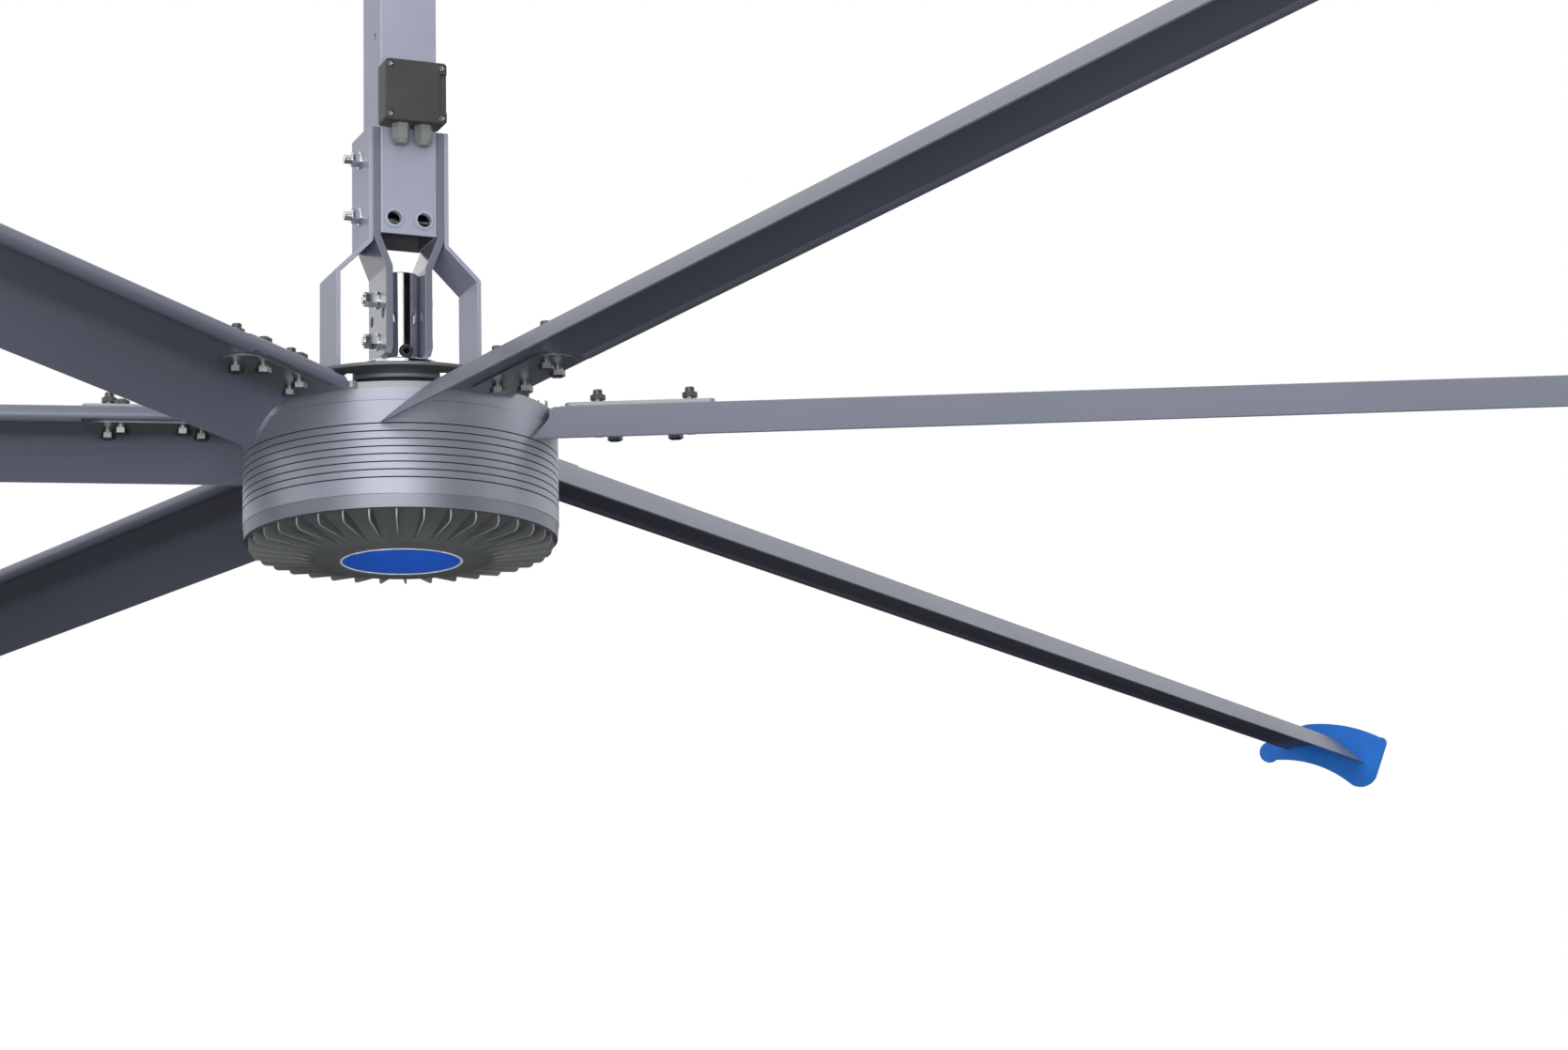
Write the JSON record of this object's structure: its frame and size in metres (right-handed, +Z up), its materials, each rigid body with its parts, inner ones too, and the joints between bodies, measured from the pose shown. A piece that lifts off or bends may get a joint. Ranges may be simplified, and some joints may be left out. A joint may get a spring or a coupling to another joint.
{
  "type": "high volume low speed ceiling fan",
  "caption": "Large slow ceiling fan: drop tube and yoke carry a finned outer-rotor motor whose spider holds long hollow blades with curved end caps.",
  "frame": {"origin": "centre of the ceiling plate's top face, between its bolt holes", "axes": "+Z up along the motor axis, -Y towards the junction box, +X across the yoke plates"},
  "size_m": [6.9618, 7.2242, 1.1045],
  "materials": {
    "painted_steel": "satin",
    "zinc_hardware": "bright",
    "bright_steel": "polished",
    "grey_grommet": "matte",
    "black_rubber": "matte",
    "box_plastic": "matte",
    "gland_plastic": "satin",
    "disc_steel": "satin",
    "motor_iron": "rough",
    "coil_copper": "lacquered",
    "shell_aluminium": "brushed",
    "cover_casting": "matte",
    "spider_casting": "satin",
    "blade_aluminium": "anodised",
    "cap_plastic": "satin",
    "badge_face": "gloss",
    "badge_rim": "gloss"
  },
  "bodies": {
    "frame": {"ceiling_plate": "painted_steel", "drop_tube": "painted_steel", "outer_bracket_right": "painted_steel", "outer_bracket_left": "painted_steel", "inner_bracket_right": "painted_steel", "inner_bracket_left": "painted_steel", "cable_grommets": "grey_grommet", "box_base": "box_plastic", "box_lid": "box_plastic", "box_gasket": "black_rubber", "box_screws": "zinc_hardware", "terminal_block": "gland_plastic", "gland_bodies": "gland_plastic", "gland_caps": "gland_plastic", "gland_locknuts": "gland_plastic", "tube_bolts": "zinc_hardware", "tube_nuts": "zinc_hardware", "clamp_bolts": "zinc_hardware", "clamp_nuts": "zinc_hardware", "motor_shaft": "bright_steel", "cable_bush": "black_rubber", "support_disc": "disc_steel", "foot_bolts": "zinc_hardware", "shaft_collar": "bright_steel", "shaft_spacer": "bright_steel", "shaft_circlip": "bright_steel", "stator_core": "motor_iron", "stator_coils": "coil_copper", "bearing_inner_upper": "bright_steel", "bearing_inner_lower": "bright_steel"},
    "rotor": {"rotor_shell": "shell_aluminium", "shaft_seal": "black_rubber", "rotor_magnets": "motor_iron", "bottom_cover": "cover_casting", "badge_disc": "badge_face", "badge_bezel": "badge_rim", "bearing_outer_upper": "bright_steel", "bearing_outer_lower": "bright_steel", "hub_spider": "spider_casting", "hub_bolts": "zinc_hardware", "blade_1": "blade_aluminium", "blade_2": "blade_aluminium", "blade_3": "blade_aluminium", "blade_4": "blade_aluminium", "blade_5": "blade_aluminium", "blade_6": "blade_aluminium", "tip_cap_1": "cap_plastic", "tip_cap_2": "cap_plastic", "tip_cap_3": "cap_plastic", "tip_cap_4": "cap_plastic", "tip_cap_5": "cap_plastic", "tip_cap_6": "cap_plastic", "upper_plates": "spider_casting", "lower_plates": "spider_casting", "blade_bolts": "zinc_hardware", "blade_nuts": "zinc_hardware", "blade_spacers": "zinc_hardware"},
    "bearing_cages": {"bearing_cage_upper": "bright_steel", "bearing_cage_lower": "bright_steel"}
  },
  "joints": [
    {"name": "rotor_spin", "type": "hinge", "parent": "frame", "child": "rotor", "pos_m": [0, 0, -0.966], "axis": [0, 0, 1], "continuous": true},
    {"name": "cage_spin", "type": "hinge", "parent": "frame", "child": "bearing_cages", "pos_m": [0, 0, -0.966], "axis": [0, 0, 1], "continuous": true}
  ],
  "couplings": [
    {"joint": "cage_spin", "follows": "rotor_spin", "ratio": 0.5907}
  ]
}
